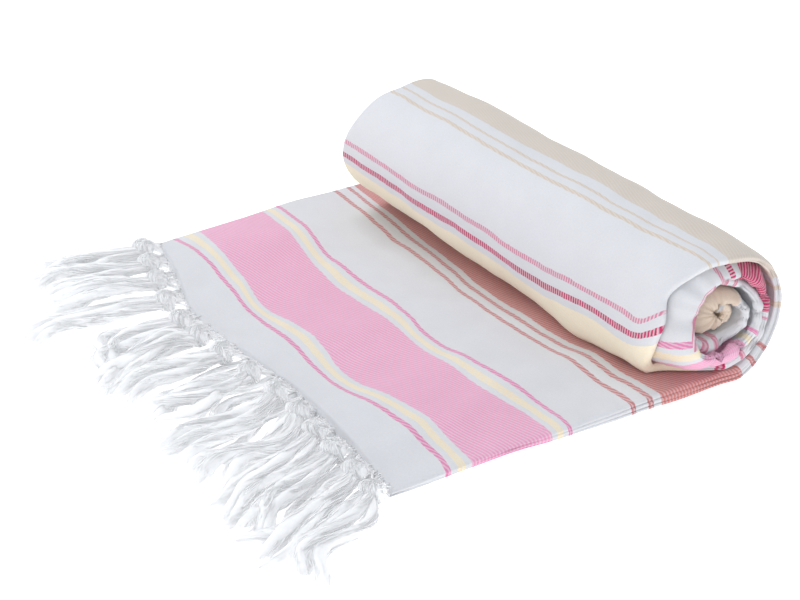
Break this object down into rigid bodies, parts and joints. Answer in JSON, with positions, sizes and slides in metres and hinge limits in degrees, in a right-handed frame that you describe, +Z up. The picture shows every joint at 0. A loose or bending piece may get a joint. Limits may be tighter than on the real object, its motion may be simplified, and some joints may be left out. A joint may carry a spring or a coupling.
{
  "type": "rolled beach towel",
  "caption": "Flat-woven striped cotton beach towel, folded and rolled from one end, with a flat apron in front of the roll and knotted fringe spread on the floor.",
  "frame": {"origin": "on the flat underside, below the roll's axis and halfway along the roll", "axes": "+X along the roll towards its open wound end, -Y towards the fringe, +Z up"},
  "size_m": [0.3853, 0.3581, 0.088],
  "materials": {
    "striped_cotton": "matte flat weave in white, pink, coral, crimson, beige and pale yellow stripes",
    "fringe_cotton": "matte twisted white cotton yarn"
  },
  "bodies": {
    "root": {"towel_cloth": "striped_cotton", "fringe": "fringe_cotton"}
  },
  "joints": []
}
